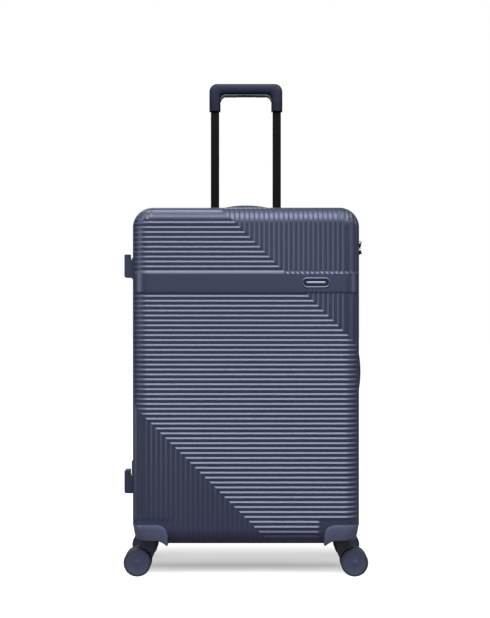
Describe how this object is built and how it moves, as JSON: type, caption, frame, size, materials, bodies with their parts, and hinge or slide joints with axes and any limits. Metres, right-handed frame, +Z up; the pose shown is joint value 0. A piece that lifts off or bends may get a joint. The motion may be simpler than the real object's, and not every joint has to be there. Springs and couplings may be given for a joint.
{
  "type": "hard shell suitcase on wheels",
  "caption": "Ribbed hard-shell upright suitcase with a telescopic handle, carry handles, a zip lock and swivelling twin wheels.",
  "frame": {"origin": "on the floor under the middle of the suitcase's box with the handle raised", "axes": "+X to the lock and side-handle side, +Y to the back with the telescopic handle, +Z up"},
  "size_m": [0.519, 0.3, 1.086],
  "materials": {
    "shell": "satin moulded plastic, dark blue-grey",
    "navy_plastic": "satin moulded plastic, dark navy",
    "grey_plastic": "satin moulded plastic, blue-grey",
    "black_plastic": "fine-textured black plastic",
    "pole": "black anodised",
    "outer_tube": "mill finish",
    "bright_metal": "polished plating",
    "tyre": "matt dark rubber",
    "lining": "woven polyester lining",
    "zip_tape": "woven zip tape"
  },
  "bodies": {
    "rear_case": {"rear_shell": "shell", "rear_lining": "lining", "zip_tape_rear": "zip_tape", "trolley_bezel": "black_plastic", "trolley_bottom_bracket": "black_plastic", "lock_housing": "black_plastic", "outer_tube_left": "outer_tube", "outer_tube_right": "outer_tube", "wheel_housing_rear_left": "shell", "wheel_housing_rear_right": "shell", "side_foot_rear_upper": "shell", "side_foot_rear_lower": "shell", "top_handle_mount_left": "navy_plastic", "top_handle_mount_right": "navy_plastic", "side_handle_mount_upper": "navy_plastic", "side_handle_mount_lower": "navy_plastic"},
    "front_case": {"front_shell": "shell", "front_lining": "lining", "zip_tape_front": "zip_tape", "badge_plate": "bright_metal", "wheel_housing_front_left": "shell", "wheel_housing_front_right": "shell", "side_foot_front_upper": "shell", "side_foot_front_lower": "shell"},
    "trolley": {"grip": "navy_plastic", "grip_underside": "grey_plastic", "pole_left": "pole", "pole_right": "pole", "pole_end_plug_left": "black_plastic", "pole_end_plug_right": "black_plastic"},
    "release_button": {"release_button": "black_plastic"},
    "top_carry_handle": {"top_carry_handle": "navy_plastic"},
    "side_carry_handle": {"side_carry_handle": "navy_plastic"},
    "lock_button": {"lock_button": "bright_metal"},
    "lock_dial_1": {"lock_dial_1": "bright_metal"},
    "lock_dial_2": {"lock_dial_2": "bright_metal"},
    "lock_dial_3": {"lock_dial_3": "bright_metal"},
    "zip_slider_upper": {"zip_slider_upper": "bright_metal"},
    "zip_pull_upper": {"zip_pull_upper": "bright_metal"},
    "zip_slider_lower": {"zip_slider_lower": "bright_metal"},
    "zip_pull_lower": {"zip_pull_lower": "bright_metal"},
    "caster_fork_front_left": {"caster_fork_front_left": "black_plastic"},
    "wheel_front_left": {"wheel_core_front_left": "grey_plastic", "tyre_near_front_left": "tyre", "tyre_far_front_left": "tyre"},
    "caster_fork_front_right": {"caster_fork_front_right": "black_plastic"},
    "wheel_front_right": {"wheel_core_front_right": "grey_plastic", "tyre_near_front_right": "tyre", "tyre_far_front_right": "tyre"},
    "caster_fork_rear_left": {"caster_fork_rear_left": "black_plastic"},
    "wheel_rear_left": {"wheel_core_rear_left": "grey_plastic", "tyre_near_rear_left": "tyre", "tyre_far_rear_left": "tyre"},
    "caster_fork_rear_right": {"caster_fork_rear_right": "black_plastic"},
    "wheel_rear_right": {"wheel_core_rear_right": "grey_plastic", "tyre_near_rear_right": "tyre", "tyre_far_rear_right": "tyre"}
  },
  "joints": [
    {"name": "case_hinge", "type": "hinge", "parent": "rear_case", "child": "front_case", "pos_m": [-0.2405, 0, 0.425], "axis": [0, 0, -1], "range_deg": [0, 140]},
    {"name": "trolley_slide", "type": "slide", "parent": "rear_case", "child": "trolley", "axis": [0, 0, 1], "range_m": [-0.285, 0]},
    {"name": "release_press", "type": "slide", "parent": "trolley", "child": "release_button", "axis": [0, 0, 1], "range_m": [0, 0.0025], "stiffness_N_per_m": 400},
    {"name": "top_handle_lift", "type": "slide", "parent": "rear_case", "child": "top_carry_handle", "axis": [0, 0, 1], "range_m": [0, 0.011]},
    {"name": "side_handle_pull", "type": "slide", "parent": "rear_case", "child": "side_carry_handle", "axis": [1, 0, 0], "range_m": [0, 0.011], "stiffness_N_per_m": 150},
    {"name": "lock_press", "type": "slide", "parent": "rear_case", "child": "lock_button", "axis": [-1, 0, 0], "range_m": [0, 0.002], "stiffness_N_per_m": 300},
    {"name": "dial_turn_1", "type": "hinge", "parent": "rear_case", "child": "lock_dial_1", "pos_m": [0.2464, 0.027, 0.661], "axis": [0, 0, 1], "continuous": true},
    {"name": "dial_turn_2", "type": "hinge", "parent": "rear_case", "child": "lock_dial_2", "pos_m": [0.2464, 0.027, 0.669], "axis": [0, 0, 1], "continuous": true},
    {"name": "dial_turn_3", "type": "hinge", "parent": "rear_case", "child": "lock_dial_3", "pos_m": [0.2464, 0.027, 0.677], "axis": [0, 0, 1], "continuous": true},
    {"name": "zip_travel_upper", "type": "slide", "parent": "rear_case", "child": "zip_slider_upper", "axis": [0, 0, 1], "range_m": [0, 0.025]},
    {"name": "zip_pull_swing_upper", "type": "hinge", "parent": "zip_slider_upper", "child": "zip_pull_upper", "pos_m": [0.2529, 0, 0.708], "axis": [0, 0, -1], "range_deg": [0, 150]},
    {"name": "zip_travel_lower", "type": "slide", "parent": "rear_case", "child": "zip_slider_lower", "axis": [0, 0, -1], "range_m": [0, 0.52]},
    {"name": "zip_pull_swing_lower", "type": "hinge", "parent": "zip_slider_lower", "child": "zip_pull_lower", "pos_m": [0.2529, 0, 0.692], "axis": [0, 0, -1], "range_deg": [0, 150]},
    {"name": "swivel_front_left", "type": "hinge", "parent": "front_case", "child": "caster_fork_front_left", "pos_m": [-0.208, -0.1, 0.08], "axis": [0, 0, 1], "continuous": true},
    {"name": "roll_front_left", "type": "hinge", "parent": "caster_fork_front_left", "child": "wheel_front_left", "pos_m": [-0.23, -0.1, 0.029], "axis": [0, 1, 0], "continuous": true},
    {"name": "swivel_front_right", "type": "hinge", "parent": "front_case", "child": "caster_fork_front_right", "pos_m": [0.208, -0.1, 0.08], "axis": [0, 0, 1], "continuous": true},
    {"name": "roll_front_right", "type": "hinge", "parent": "caster_fork_front_right", "child": "wheel_front_right", "pos_m": [0.23, -0.1, 0.029], "axis": [0, 1, 0], "continuous": true},
    {"name": "swivel_rear_left", "type": "hinge", "parent": "rear_case", "child": "caster_fork_rear_left", "pos_m": [-0.208, 0.1, 0.08], "axis": [0, 0, 1], "continuous": true},
    {"name": "roll_rear_left", "type": "hinge", "parent": "caster_fork_rear_left", "child": "wheel_rear_left", "pos_m": [-0.23, 0.1, 0.029], "axis": [0, 1, 0], "continuous": true},
    {"name": "swivel_rear_right", "type": "hinge", "parent": "rear_case", "child": "caster_fork_rear_right", "pos_m": [0.208, 0.1, 0.08], "axis": [0, 0, 1], "continuous": true},
    {"name": "roll_rear_right", "type": "hinge", "parent": "caster_fork_rear_right", "child": "wheel_rear_right", "pos_m": [0.23, 0.1, 0.029], "axis": [0, 1, 0], "continuous": true}
  ]
}
